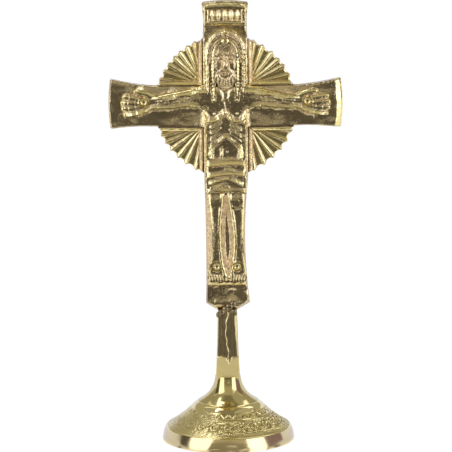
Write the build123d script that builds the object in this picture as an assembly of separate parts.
from build123d import *
import math
import os

# Foot: a hollow turned saucer with a plain rim
foot_diameter = 62.0
rim_top_diameter = 59.2
rim_height = 6.6
rim_edge_round = 1.2
rim_edge_sag = 0.24
dome_height = 17.6
dome_wall = 2.5
dome_sag = 0.6
shoulder_run = 2.9
shoulder_drop = 1.8
shoulder_sag = 0.3

# Neck: a turned trumpet that sits on the foot
neck_skirt_diameter = 28.2
neck_skirt_lip = 0.5
neck_height = 12.3
neck_top_diameter = 11.8
neck_sag = 1.95

# Stem: a tapered bar filed to two facets above a plain band
stem_length = 31.7
stem_band_height = 8.2
stem_facet_run = 2.4
stem_foot_width = 11.2
stem_foot_depth = 9.4
stem_band_width = 10.7
stem_band_depth = 8.2
stem_waist_width = 10.4
stem_waist_depth = 6.6
stem_top_width = 9.2
stem_top_depth = 5.4
stem_ridge = 0.9
stem_band_ridge = 0.15
tenon_width = 5.0
tenon_depth = 2.2
tenon_length = 6.0

# Stud, washer and nut that hold the stem to the foot
stud_diameter = 5.0
stud_engagement = 8.5
stud_tip = 1.4
stud_chamfer = 0.6
washer_diameter = 10.0
washer_thickness = 1.0
nut_width = 8.0
nut_height = 4.0

# Cross plate: lengths run from the middle of the crossing
plate_thickness = 5.0
plate_edge = 0.5
shaft_length = 96.4
head_length = 48.8
arm_length = 54.2
upright_width = 20.4
head_end_width = 21.6
crossbar_width = 18.8
arm_end_width = 23.2
arm_end_rise = 1.15
shaft_waist_width = 18.0
shaft_foot_width = 20.6
shaft_foot_drop = 4.2
shaft_tip_width = 10.6
end_bow = 0.9
flare_sag = 0.45

# Ray fans in the four corners of the cross
glory_radius = 33.3
fan_recess = 1.2
fan_back_step = 0.6
fan_rim_width = 2.1
fan_rim_proud = 0.8
ray_start = 2.6
ray_root_width = 0.8
ray_tip_width = 2.6
ray_root_rise = 0.5
ray_tip_rise = 1.5
scallop_radius = 2.1
scallop_depth = 1.15
upper_ray_count = 6
lower_ray_count = 5

# Title plate above the head
title_side_margin = 0.55
title_top_margin = 0.7
title_height = 9.9
title_base = 0.9
title_frame = 2.0
title_post = 2.3
title_top_bar = 2.5
title_bottom_bar = 2.4
title_bow = 0.7
title_gap = 1.6

# Figure, head and hair: heights run from the middle of the crossing
chin_height = 8.2
head_width = 12.4
head_relief = 6.6
head_crown_drop = 2.0
nose_width = 2.2
nose_relief = 0.9
hair_margin = 0.9
hair_lock_width = 2.8
hair_lock_pitch = 2.1
hair_lock_end_height = 3.2
hair_lift = 2.0
hair_lock_count = 3

# Figure, torso and loincloth
torso_margin = 0.8
torso_relief = 4.6
torso_top_height = 8.0
cloth_margin = 1.2
cloth_top_height = -24.2
cloth_bottom_height = -40.7
cloth_relief = 4.9
cloth_roll_height = 2.6
cloth_roll_rise = 0.6
rib_count = 4
rib_pitch = 2.8
rib_groove_width = 0.9
rib_groove_depth = 0.9
rib_length = 8.0
rib_top_height = -6.8
rib_angle = 34.0

# Figure, arms and hands
arm_tuck = 3.1
arm_thickness = 6.6
arm_relief = 3.6
arm_line_height = 3.8
wrist_thickness = 5.8
palm_run = 6.1
palm_width = 10.2
palm_relief = 2.2
knuckle_run = 3.2
finger_length = 7.3
finger_width = 2.2
finger_relief = 1.9
hand_margin = 5.9
hand_drop = 0.8
thumb_start = 1.4
thumb_length = 7.6
thumb_lift = 5.2
thumb_width = 1.9

# Figure, legs and feet
leg_inset = 4.3
leg_width = 8.4
leg_relief = 4.2
leg_tuck = 2.6
toe_lift = 13.9

# Footrest under the feet
footrest_margin = 1.4
footrest_height = 2.2
footrest_depth = 3.6
footrest_lip = 2.2

# Nails through the hands and the feet
nail_diameter = 1.5
nail_head_diameter = 3.6
nail_head_height = 0.9
nail_dimple_diameter = 1.4
nail_dimple_depth = 0.5
hand_nail_seat = 1.2
foot_nail_seat = 2.2
foot_nail_lift = 7.4

# Clearances, and the overrun of every cut
running_clearance = 0.05
nail_clearance = 0.05
tenon_clearance = 0.1
washer_clearance = 0.2
seat_gap = 0.3
overrun = 1.0

# Shares of a section's half width and relief, for its crowned front
crown_width_share = 0.80
crown_relief_share = 0.66
taper_share = 0.80
tip_share = 0.50
half = 0.5
quarter_turn = 90.0

# Shares along the torso, from the hem up: place, width, relief
torso_shares = (
    (0.0, 0.93, 0.80),
    (0.22, 0.94, 0.84),
    (0.48, 0.90, 0.78),
    (0.70, 1.0, 0.96),
    (0.88, 1.0, 1.0),
    (1.0, 0.86, 0.80),
)

# Shares along an arm, from the chest out: place, thickness, relief, lift
arm_shares = (
    (0.0, 1.70, 1.15, -0.06),
    (0.15, 1.55, 1.15, 0.0),
    (0.34, 1.12, 1.0, 0.05),
    (0.48, 0.98, 0.95, 0.0),
    (0.72, 1.0, 0.92, -0.13),
)

# Shares up the head, from the beard to the crown: place, width, relief
head_shares = (
    (0.0, 0.30, 0.62),
    (0.14, 0.62, 0.84),
    (0.34, 0.92, 0.97),
    (0.58, 1.0, 1.0),
    (0.84, 0.84, 0.86),
    (1.0, 0.40, 0.56),
)
nose_top_share = 0.62
nose_foot_share = 0.42

# Shares down a leg, from the hem to the toes: place, width, relief, spread
leg_shares = (
    (0.0, 0.76, 0.98, 0.98),
    (0.14, 0.70, 1.0, 0.98),
    (0.36, 0.50, 0.94, 1.0),
    (0.57, 0.36, 0.76, 0.98),
    (0.76, 0.54, 0.74, 1.04),
    (0.87, 0.78, 0.90, 1.04),
    (0.95, 0.96, 0.84, 1.02),
    (1.0, 0.98, 0.70, 1.02),
)

# Shares up the loincloth, from the hem: place, width, relief
cloth_shares = ((0.0, 0.96, 0.84), (0.45, 1.0, 0.96), (1.0, 1.0, 0.88))
roll_place_shares = (0.07, 0.46, 0.92)

# Shares of the palm's width and of the fingers' length
finger_place_shares = (-0.375, -0.125, 0.125, 0.375)
finger_length_shares = (0.80, 0.95, 1.0, 0.92)

# Places that follow from the sizes above
neck_top = dome_height + neck_height
stem_top = neck_top + stem_length
crossing = stem_top + shaft_length
front = -plate_thickness * half
back = plate_thickness * half
hub_under = dome_height - dome_wall
washer_under = hub_under - washer_thickness
nut_under = washer_under - nut_height
stud_bottom = nut_under - stud_tip
bore_radius = stud_diameter * half + running_clearance
nail_hole = nail_diameter + 2 * nail_clearance
title_top = head_length - end_bow - title_top_margin
title_bottom = title_top - title_height
hair_top = title_bottom - title_gap
head_top = hair_top - head_crown_drop
torso_width = upright_width - 2 * torso_margin
cloth_width = upright_width - 2 * cloth_margin
finger_tip = arm_length - hand_margin
finger_root = finger_tip - finger_length
palm_reach = finger_root - knuckle_run
wrist_reach = palm_reach - palm_run
wrist_height = arm_line_height - hand_drop
palm_height = wrist_height - hand_drop
toe_height = toe_lift - shaft_length
leg_top = cloth_bottom_height + leg_tuck
leg_offset = shaft_waist_width * half - leg_inset
nail_height = toe_height + foot_nail_lift
hand_places = [(side * palm_reach, crossing + palm_height) for side in (1, -1)]
foot_places = [(side * leg_offset, crossing + nail_height) for side in (1, -1)]
face_plane = Plane(origin=(0, front, crossing), x_dir=(1, 0, 0), z_dir=(0, -1, 0))
back_plane = Plane(origin=(0, back, crossing), x_dir=(1, 0, 0), z_dir=(0, -1, 0))
standing = (Align.CENTER, Align.CENTER, Align.MIN)


def span(low, high, share):
    """Place between two values."""
    return low + (high - low) * share


def closed_face(*edges):
    """Flat face inside edges that run end to end."""
    return make_face(Wire(edges))


def bar(*points):
    """Straight edges through the points."""
    return [Line(a, b) for a, b in zip(points, points[1:])]


def bowed(start, end, sag):
    """Arc that bulges by the sag to the right of its travel."""
    run = math.dist(start, end)
    middle_x = span(start[0], end[0], half) + (end[1] - start[1]) / run * sag
    middle_y = span(start[1], end[1], half) - (end[0] - start[0]) / run * sag
    return ThreePointArc(start, (middle_x, middle_y), end)


def turned(*edges):
    """Solid from a closed profile of radius and height, turned about the upright axis."""
    return revolve(Plane.XZ * closed_face(*edges), axis=Axis.Z)


def rod(diameter, low, high):
    """Upright cylinder on the axis, between two heights."""
    return Pos(0, 0, low) * Cylinder(diameter * half, high - low, align=standing)


def front_rod(diameter, x, z, near, far):
    """Cylinder along the depth of the cross, at a place on its face."""
    return Pos(x, span(near, far, half), z) * Rot(quarter_turn, 0, 0) * Cylinder(diameter * half, far - near)


def crowned(plane, width, relief):
    """Section with a flat back on the plate and a crowned front."""
    side = width * half
    shoulder = side * crown_width_share
    rise = relief * crown_relief_share
    points = ((side, 0), (shoulder, rise), (0, relief), (-shoulder, rise), (-side, 0))
    crown = Spline(*points, tangents=((0, 1), (0, -1)))
    return plane * closed_face(crown, Line(points[-1], points[0]))


def level(x, z):
    """Plane of a section across an upright form."""
    return Plane(origin=(x, front, crossing + z), x_dir=(1, 0, 0), z_dir=(0, 0, -1))


def across(x, z):
    """Plane of a section across a form that runs sideways."""
    return Plane(origin=(x, front, crossing + z), x_dir=(0, 0, 1), z_dir=(1, 0, 0))


def both_sides(shape):
    """The shape and its twin on the other side of the middle."""
    return [shape, mirror(shape, about=Plane.YZ)]


def make_foot():
    """Hollow foot, with the bore for the stud in its hub."""
    outer = foot_diameter * half
    rim = rim_top_diameter * half
    seat = neck_skirt_diameter * half
    edge = (rim - rim_edge_round, rim_height + rim_edge_round)
    shoulder = (seat + shoulder_run, dome_height - shoulder_drop)
    shell = turned(
        *bar((bore_radius, 0), (outer, 0), (rim, rim_height)),
        bowed((rim, rim_height), edge, rim_edge_sag),
        bowed(edge, shoulder, -dome_sag),
        bowed(shoulder, (seat, dome_height), shoulder_sag),
        *bar((seat, dome_height), (bore_radius, dome_height), (bore_radius, 0)),
    )
    inner = outer - dome_wall
    inner_edge = (edge[0] - dome_wall, edge[1] - dome_wall)
    inner_shoulder = (shoulder[0] - dome_wall, shoulder[1] - dome_wall)
    hollow = turned(
        *bar((0, hub_under), (0, -overrun), (inner, -overrun), (inner, 0), inner_edge),
        bowed(inner_edge, inner_shoulder, -dome_sag),
        *bar(inner_shoulder, (seat - dome_wall, hub_under), (0, hub_under)),
    )
    return shell - hollow


def make_neck():
    """Trumpet neck, with a bore for the stud."""
    skirt = neck_skirt_diameter * half
    top = neck_top_diameter * half
    lip = dome_height + neck_skirt_lip
    return turned(
        *bar((bore_radius, dome_height), (skirt, dome_height), (skirt, lip)),
        bowed((skirt, lip), (top, neck_top), -neck_sag),
        *bar((top, neck_top), (bore_radius, neck_top), (bore_radius, dome_height)),
    )


def stem_section(z, width, depth, ridge):
    """Five-sided section, with its ridge to the front."""
    side = width * half
    deep = depth * half
    corners = ((-side, -deep), (0, -deep - ridge), (side, -deep), (side, deep), (-side, deep))
    return Pos(0, 0, z) * closed_face(*bar(*corners, corners[0]))


def make_stem():
    """Faceted stem, with a tenon for the cross and a hole for the stud."""
    band_top = neck_top + stem_band_height
    facet_foot = band_top + stem_facet_run
    sections = [
        stem_section(neck_top, stem_foot_width, stem_foot_depth, stem_band_ridge),
        stem_section(band_top, stem_band_width, stem_band_depth, stem_band_ridge),
        stem_section(facet_foot, stem_waist_width, stem_waist_depth, stem_ridge),
        stem_section(stem_top, stem_top_width, stem_top_depth, stem_ridge),
    ]
    shank = loft(sections, ruled=True)
    tenon_foot = Pos(0, 0, stem_top - overrun)
    tenon = tenon_foot * Box(tenon_width, tenon_depth, tenon_length + overrun, align=standing)
    tapped = rod(stud_diameter, neck_top - overrun, neck_top + stud_engagement + seat_gap)
    return shank + tenon - tapped


def make_stud():
    """Stud, with a chamfered lower end."""
    stud = rod(stud_diameter, stud_bottom, neck_top + stud_engagement)
    return chamfer(stud.edges().filter_by(GeomType.CIRCLE).sort_by(Axis.Z)[0], stud_chamfer)


def make_washer():
    """Plain washer under the hub of the foot."""
    hole = rod(stud_diameter + 2 * washer_clearance, washer_under - overrun, hub_under + overrun)
    return rod(washer_diameter, washer_under, hub_under) - hole


def make_nut():
    """Hexagon nut under the washer."""
    hexagon = Pos(0, 0, nut_under) * RegularPolygon(nut_width * half, 6, major_radius=False)
    hole = rod(stud_diameter, nut_under - overrun, washer_under + overrun)
    return extrude(hexagon, amount=nut_height) - hole


def flared_arm(length, root_width, end_width, rise):
    """Face of one arm, from the crossing out along the local y axis."""
    root = root_width * half
    tip = length - end_bow
    left = (rise - end_width * half, tip)
    right = (rise + end_width * half, tip)
    return closed_face(
        *bar((-root, glory_radius), (-root, 0), (root, 0), (root, glory_radius)),
        bowed((root, glory_radius), right, -flare_sag),
        bowed(right, left, end_bow),
        bowed(left, (-root, glory_radius), -flare_sag),
    )


def shaft_face():
    """Face of the lower arm, waisted, and chamfered in to the stem."""
    root = upright_width * half
    foot = shaft_foot_width * half
    tip = shaft_tip_width * half
    end = shaft_foot_drop - shaft_length
    sag = span(root, foot, half) - shaft_waist_width * half
    return closed_face(
        *bar((root, -glory_radius), (root, 0), (-root, 0), (-root, -glory_radius)),
        bowed((-root, -glory_radius), (-foot, end), -sag),
        *bar((-foot, end), (-tip, -shaft_length), (tip, -shaft_length), (foot, end)),
        bowed((foot, end), (root, -glory_radius), -sag),
    )


def make_cross():
    """Cross plate, with its mortise and the holes for the nails."""
    head = flared_arm(head_length, upright_width, head_end_width, 0)
    left_arm = Rot(0, 0, quarter_turn) * flared_arm(arm_length, crossbar_width, arm_end_width, arm_end_rise)
    outline = head + shaft_face() + both_sides(left_arm)
    plate = extrude(back_plane * outline, amount=plate_thickness)
    plate = chamfer(plate.faces().sort_by(Axis.Y)[0].edges(), plate_edge)
    width = tenon_width + 2 * tenon_clearance
    depth = tenon_depth + 2 * tenon_clearance
    height = tenon_length + seat_gap + overrun
    mortise = Pos(0, 0, stem_top - overrun) * Box(width, depth, height, align=standing)
    places = hand_places + foot_places
    holes = [front_rod(nail_hole, x, z, front - overrun, back + overrun) for x, z in places]
    return plate.cut(mortise, *holes)


def ray_angles(count):
    """Directions of the rays, spread evenly over the quarter."""
    step = math.radians(quarter_turn) / (count + 1)
    return [step * (k + 1) for k in range(count)]


def to_glory(corner, angle):
    """Distance from a fan's inner corner to the circle of the glory, along a direction."""
    along = corner[0] * math.cos(angle) + corner[1] * math.sin(angle)
    return math.sqrt(along**2 + glory_radius**2 - corner[0] ** 2 - corner[1] ** 2) - along


def make_ray(corner, angle):
    """One rib of a fan, widening from the inner corner to the rim."""
    dx = math.cos(angle)
    dz = math.sin(angle)
    ends = (
        (ray_start, ray_root_width, ray_root_rise),
        (to_glory(corner, angle), ray_tip_width, ray_tip_rise),
    )
    sections = []
    for place, width, rise in ends:
        origin = (corner[0] + dx * place, front + fan_recess, crossing + corner[1] + dz * place)
        plane = Plane(origin=origin, x_dir=(-dz, 0, dx), z_dir=(dx, 0, dz))
        sections.append(crowned(plane, width, rise))
    return loft(sections, ruled=True)


def make_scallop(corner, angle):
    """Round cutter for the rim between two rays."""
    reach = to_glory(corner, angle)
    out = (glory_radius + scallop_radius - scallop_depth) / glory_radius
    x = (corner[0] + math.cos(angle) * reach) * out
    z = (corner[1] + math.sin(angle) * reach) * out
    return front_rod(2 * scallop_radius, x, crossing + z, front - ray_tip_rise - overrun, back + overrun)


def make_fan(count):
    """Fan for the upper right corner, with a raised border along the cross."""
    left = upright_width * half
    low = crossbar_width * half
    corner = (left, low)
    right = math.sqrt(glory_radius**2 - low**2)
    high = math.sqrt(glory_radius**2 - left**2)
    diagonal = glory_radius * math.sqrt(half)
    sector = closed_face(
        *bar((left, high), corner, (right, low)),
        ThreePointArc((right, low), (diagonal, diagonal), (left, high)),
    )
    floor = face_plane.offset(-fan_recess)
    base = extrude(floor * sector, amount=fan_recess + fan_back_step - plate_thickness)
    angles = ray_angles(count)
    rays = [make_ray(corner, angle) for angle in angles]
    turns = [0.0] + angles + [math.radians(quarter_turn)]
    cutters = [make_scallop(corner, span(a, b, half)) for a, b in zip(turns, turns[1:])]
    ribbed = base.fuse(*rays).cut(*cutters)
    inner_x = left + fan_rim_width
    inner_z = low + fan_rim_width
    end_x = right - scallop_depth
    end_z = high - scallop_depth
    border = ((left, low), (end_x, low), (end_x, inner_z), (inner_x, inner_z), (inner_x, end_z), (left, end_z))
    rim = extrude(floor * closed_face(*bar(*border, border[0])), amount=fan_recess + fan_rim_proud)
    return ribbed + rim


def make_title():
    """Framed plate with a bare sunk panel."""
    side = upright_width * half - title_side_margin
    outline = closed_face(
        *bar((-side, title_top), (-side, title_bottom), (side, title_bottom), (side, title_top)),
        bowed((side, title_top), (-side, title_top), title_bow),
    )
    inner = side - title_post
    low = title_bottom + title_bottom_bar
    high = title_top - title_top_bar
    corners = ((-inner, low), (inner, low), (inner, high), (-inner, high))
    panel = face_plane.offset(title_base) * closed_face(*bar(*corners, corners[0]))
    return extrude(face_plane * outline, amount=title_frame) - extrude(panel, amount=title_frame)


def make_torso():
    """Torso, from the hem of the loincloth to the shoulders."""
    sections = []
    for place, width, relief in torso_shares:
        z = span(cloth_bottom_height, torso_top_height, place)
        sections.append(crowned(level(0, z), torso_width * width, torso_relief * relief))
    return loft(sections)


def make_arm():
    """Arm, from inside the chest to the wrist."""
    root = torso_width * half - arm_tuck
    sections = []
    for place, thickness, relief, lift in arm_shares:
        plane = across(span(root, wrist_reach, place), arm_line_height + lift * arm_thickness)
        sections.append(crowned(plane, arm_thickness * thickness, arm_relief * relief))
    sections.append(crowned(across(wrist_reach, wrist_height), wrist_thickness, palm_relief))
    return loft(sections)


def make_finger(root, tip, z, width):
    """Finger or thumb that thins towards its tip."""
    sections = [
        crowned(across(root, z), width, finger_relief),
        crowned(across(span(root, tip, half), z), width, finger_relief),
        crowned(across(tip, z), width * taper_share, finger_relief * tip_share),
    ]
    return loft(sections)


def make_hand():
    """Palm, fingers and thumb of one hand."""
    narrow = palm_width * taper_share
    sections = [
        crowned(across(wrist_reach - finger_width, wrist_height), wrist_thickness * taper_share, palm_relief * tip_share),
        crowned(across(span(wrist_reach, palm_reach, half), palm_height), narrow, palm_relief),
        crowned(across(palm_reach, palm_height), palm_width, palm_relief),
        crowned(across(finger_root + finger_width, palm_height), narrow, finger_relief * taper_share),
    ]
    pieces = [loft(sections)]
    for place, length in zip(finger_place_shares, finger_length_shares):
        tip = span(finger_root, finger_tip, length)
        pieces.append(make_finger(palm_reach, tip, palm_height + palm_width * place, finger_width))
    thumb_root = wrist_reach + thumb_start
    pieces.append(make_finger(thumb_root, thumb_root + thumb_length, palm_height + thumb_lift, thumb_width))
    return pieces


def make_head():
    """Bearded head with a plain nose."""
    sections = []
    for place, width, relief in head_shares:
        z = span(chin_height, head_top, place)
        sections.append(crowned(level(0, z), head_width * width, head_relief * relief))
    nose_top = level(0, span(chin_height, head_top, nose_top_share))
    nose_foot = level(0, span(chin_height, head_top, nose_foot_share))
    nose_sections = [
        crowned(nose_top, nose_width * half, head_relief),
        crowned(nose_foot, nose_width, head_relief + nose_relief),
    ]
    return [loft(sections), loft(nose_sections, ruled=True)]


def make_lock(k):
    """Lock of hair that arches over the crown and falls to both shoulders."""
    radius = hair_lock_width * half
    reach = upright_width * half - hair_margin - radius - hair_lock_pitch * k
    top = hair_top - radius - hair_lock_pitch * k
    turn = top - reach
    path = Wire(
        [
            Line((-reach, hair_lock_end_height), (-reach, turn)),
            ThreePointArc((-reach, turn), (0, top), (reach, turn)),
            Line((reach, turn), (reach, hair_lock_end_height)),
        ]
    )
    plane = face_plane.offset(hair_lift)
    start = Plane(origin=(-reach, hair_lock_end_height, 0), z_dir=(0, 1, 0))
    return sweep(plane * (start * Circle(radius)), path=plane * path)


def make_cloth():
    """Loincloth with its rolled folds."""
    sections = []
    for place, width, relief in cloth_shares:
        z = span(cloth_bottom_height, cloth_top_height, place)
        sections.append(crowned(level(0, z), cloth_width * width, cloth_relief * relief))
    pieces = [loft(sections)]
    outer = cloth_width + cloth_roll_rise
    inner = cloth_width - cloth_roll_rise
    for place in roll_place_shares:
        z = span(cloth_bottom_height, cloth_top_height, place)
        foot = level(0, z - cloth_roll_height * half)
        head = level(0, z + cloth_roll_height * half)
        roll = [
            crowned(foot, inner, cloth_relief - cloth_roll_rise),
            crowned(level(0, z), outer, cloth_relief + cloth_roll_rise),
            crowned(head, inner, cloth_relief - cloth_roll_rise),
        ]
        pieces.append(loft(roll))
    return pieces


def make_leg():
    """Leg and foot, from under the loincloth to the toes."""
    sections = []
    for place, width, relief, spread in leg_shares:
        z = span(leg_top, toe_height, place)
        sections.append(crowned(level(leg_offset * spread, z), leg_width * width, leg_relief * relief))
    return loft(sections)


def rib_grooves():
    """Slanted cutters that part the ribs on both sides of the chest."""
    grooves = []
    near = front - torso_relief + rib_groove_depth
    blade = Box(rib_length, torso_relief, rib_groove_width, align=(Align.MIN, Align.MAX, Align.CENTER))
    for k in range(rib_count):
        z = crossing + rib_top_height - rib_pitch * k
        grooves += both_sides(Pos(0, near, z) * Rot(0, rib_angle, 0) * blade)
    return grooves


def make_corpus():
    """Relief figure with a flat back, and seats for the nails."""
    pieces = make_head() + make_cloth() + [make_lock(k) for k in range(hair_lock_count)]
    for limb in [make_arm(), make_leg()] + make_hand():
        pieces += both_sides(limb)
    figure = make_torso().fuse(*pieces)
    cutters = rib_grooves()
    spot = nail_head_diameter + 2 * nail_clearance
    for places, seat in ((hand_places, hand_nail_seat), (foot_places, foot_nail_seat)):
        for x, z in places:
            cutters.append(front_rod(nail_hole, x, z, front - seat - overrun, front + overrun))
            cutters.append(front_rod(spot, x, z, front - seat - torso_relief, front - seat))
    return figure.cut(*cutters)


def make_footrest():
    """Ledge under the toes, cut back below."""
    top = crossing + toe_height
    low = top - footrest_height
    side = shaft_foot_width * half - footrest_margin
    corners = ((front, top), (front, low), (front - footrest_lip, low), (front - footrest_depth, top))
    plane = Plane(origin=(-side, 0, 0), x_dir=(0, 1, 0), z_dir=(1, 0, 0))
    return extrude(plane * closed_face(*bar(*corners, corners[0])), amount=2 * side)


def make_nails(places, seat):
    """Nails with dished heads, flush with the back of the cross."""
    nails = []
    under = front - seat
    crown = under - nail_head_height
    for x, z in places:
        shank = front_rod(nail_diameter, x, z, under, back)
        head = front_rod(nail_head_diameter, x, z, crown, under)
        dimple = front_rod(nail_dimple_diameter, x, z, crown - overrun, crown + nail_dimple_depth)
        nails.append(shank + head - dimple)
    return Compound(children=nails)


upper_right, upper_left = both_sides(make_fan(upper_ray_count))
crossing_level = Plane(origin=(0, 0, crossing), z_dir=(0, 0, 1))
lower_right, lower_left = both_sides(mirror(make_fan(lower_ray_count), about=crossing_level))

nodes = {
    "foot_dome": make_foot(),
    "neck": make_neck(),
    "stem": make_stem(),
    "stud": make_stud(),
    "washer": make_washer(),
    "nut": make_nut(),
    "cross_plate": make_cross(),
    "ray_fan_upper_right": upper_right,
    "ray_fan_upper_left": upper_left,
    "ray_fan_lower_right": lower_right,
    "ray_fan_lower_left": lower_left,
    "title_plate": make_title(),
    "corpus": make_corpus(),
    "footrest": make_footrest(),
    "hand_nails": make_nails(hand_places, hand_nail_seat),
    "foot_nails": make_nails(foot_places, foot_nail_seat),
}

os.makedirs("parts", exist_ok=True)
for node, shape in nodes.items():
    export_step(shape, f"parts/{node}.step")
